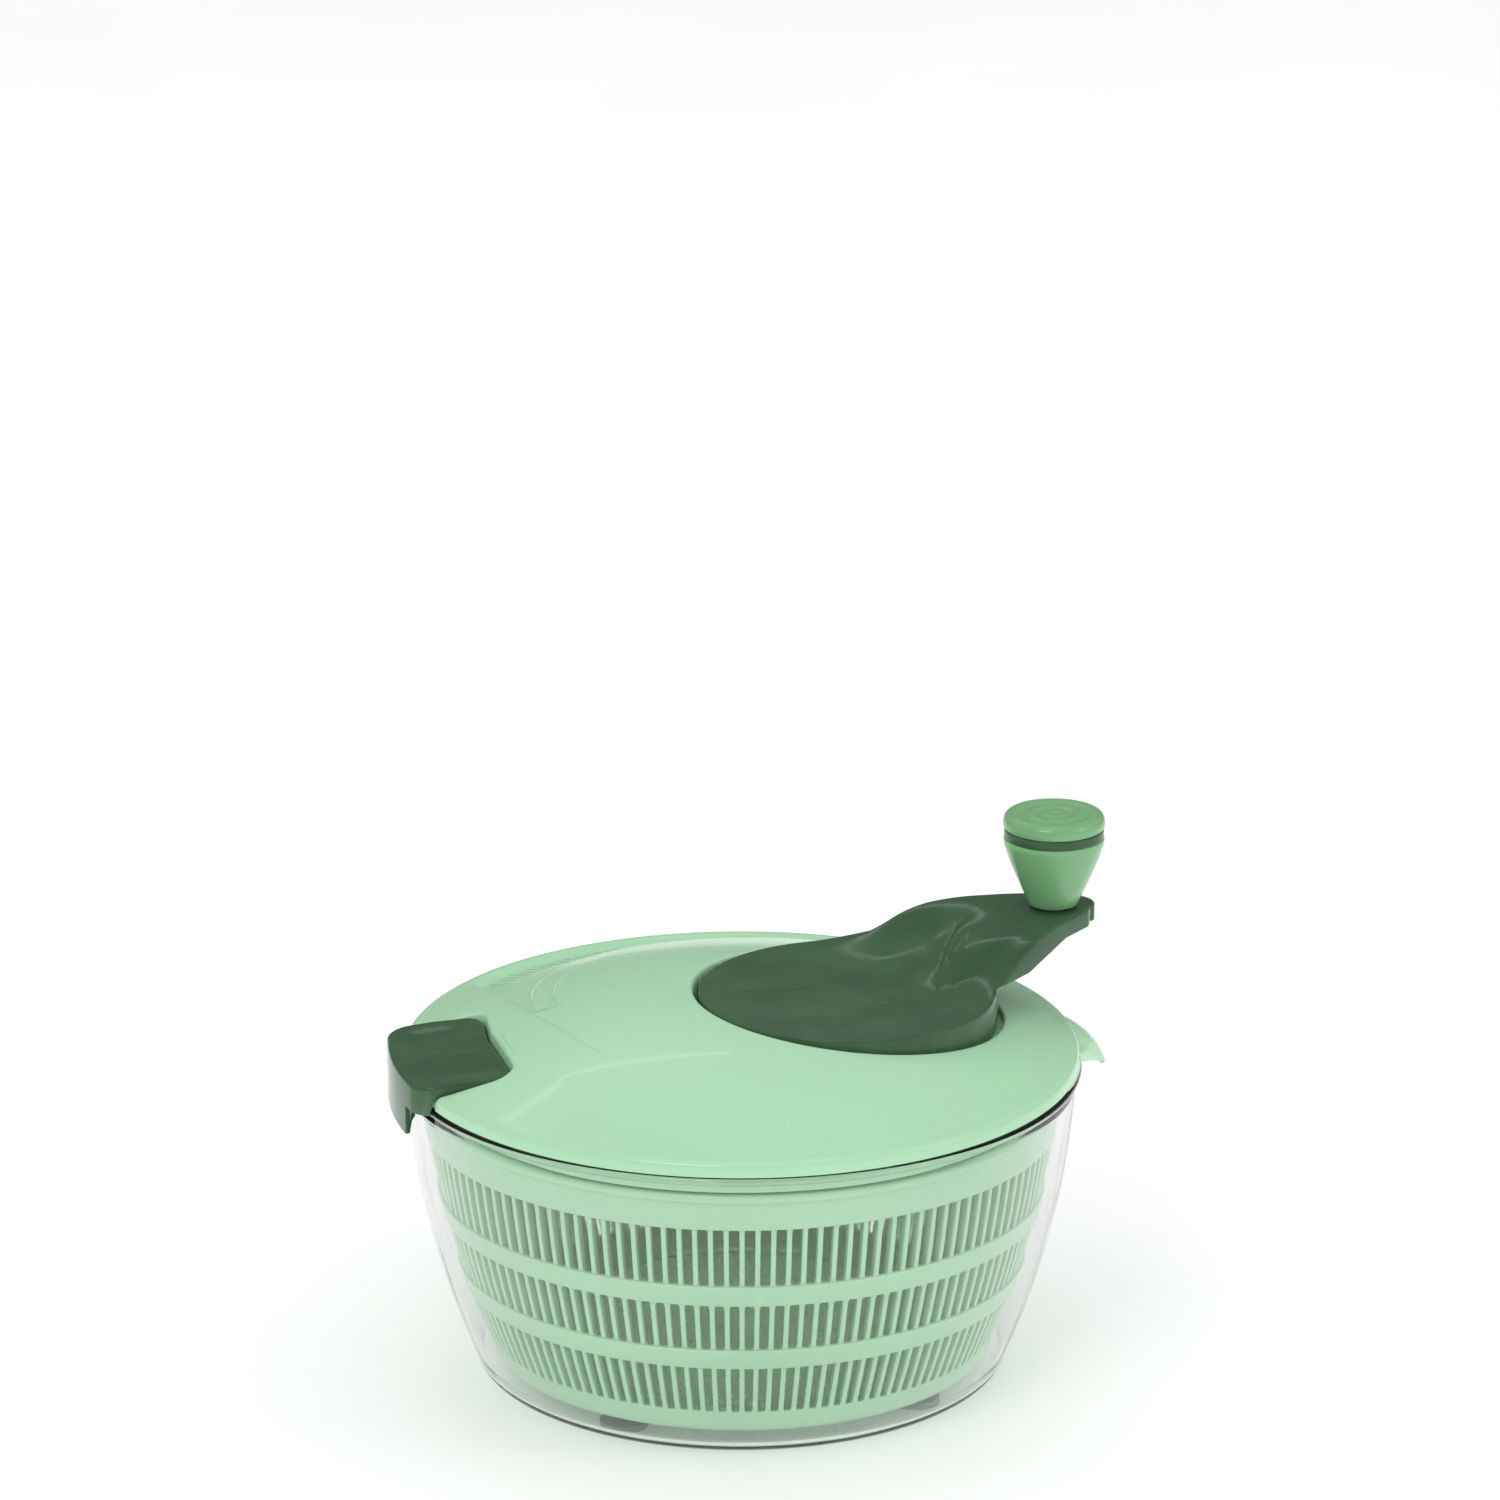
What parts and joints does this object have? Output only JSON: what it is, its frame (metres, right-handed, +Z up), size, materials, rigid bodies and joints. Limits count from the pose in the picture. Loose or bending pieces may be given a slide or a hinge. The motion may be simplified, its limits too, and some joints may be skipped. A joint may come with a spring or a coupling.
{
  "type": "salad spinner",
  "caption": "Crank-driven salad spinner: clear bowl, slotted basket and a lid with a crank, gears, finned drive plate, rocker latch and pouring lip.",
  "frame": {"origin": "on the table, on the axis of the bowl, level with the soles of the feet", "axes": "+Z up; +X from the bowl's axis to the pouring lip, with the latch on -X; +Y completes the right-handed frame"},
  "size_m": [0.2729, 0.25, 0.196],
  "materials": {
    "clear_shell": "clear, polished",
    "foot_pad": "soft translucent grey",
    "mint_plastic": "glossy mint green moulding",
    "dark_green_plastic": "glossy dark green moulding, slightly translucent",
    "gear_plastic": "natural white moulding",
    "steel": "plain bright steel"
  },
  "bodies": {
    "base": {"bowl": "clear_shell", "foot_1": "foot_pad", "foot_2": "foot_pad", "foot_3": "foot_pad", "foot_4": "foot_pad"},
    "lid": {"lid_cover": "mint_plastic", "latch_pin": "steel", "plate_washer": "steel", "plate_screw": "steel"},
    "latch": {"latch": "dark_green_plastic"},
    "crank": {"crank": "dark_green_plastic", "crank_gear": "gear_plastic", "crank_washer": "steel", "crank_screw": "steel", "knob_spindle": "steel"},
    "knob": {"knob_body": "mint_plastic", "knob_band": "dark_green_plastic", "knob_cap": "mint_plastic"},
    "drive": {"drive_plate": "mint_plastic", "drive_pinion": "gear_plastic"},
    "basket": {"basket": "mint_plastic"}
  },
  "joints": [
    {"name": "lid_lift", "type": "slide", "parent": "base", "child": "lid", "axis": [0, 0, 1], "range_m": [0, 0.286]},
    {"name": "latch_tilt", "type": "hinge", "parent": "lid", "child": "latch", "pos_m": [-0.112, 0, 0.1245], "axis": [0, 1, 0], "range_deg": [-9, 0]},
    {"name": "drive_spin", "type": "hinge", "parent": "lid", "child": "drive", "pos_m": [0, 0, 0.1168], "axis": [0, 0, 1], "continuous": true},
    {"name": "crank_spin", "type": "hinge", "parent": "lid", "child": "crank", "pos_m": [0.04, 0, 0.131], "axis": [0, 0, 1], "continuous": true},
    {"name": "knob_spin", "type": "hinge", "parent": "crank", "child": "knob", "pos_m": [0.12457, 0.03078, 0.1606], "axis": [0, 0, 1], "continuous": true},
    {"name": "basket_drop", "type": "slide", "parent": "drive", "child": "basket", "axis": [0, 0, 1], "range_m": [-0.103, 0]}
  ],
  "couplings": [
    {"joint": "crank_spin", "follows": "drive_spin", "ratio": -0.33333},
    {"joint": "basket_drop", "follows": "lid_lift", "ratio": -0.36}
  ]
}
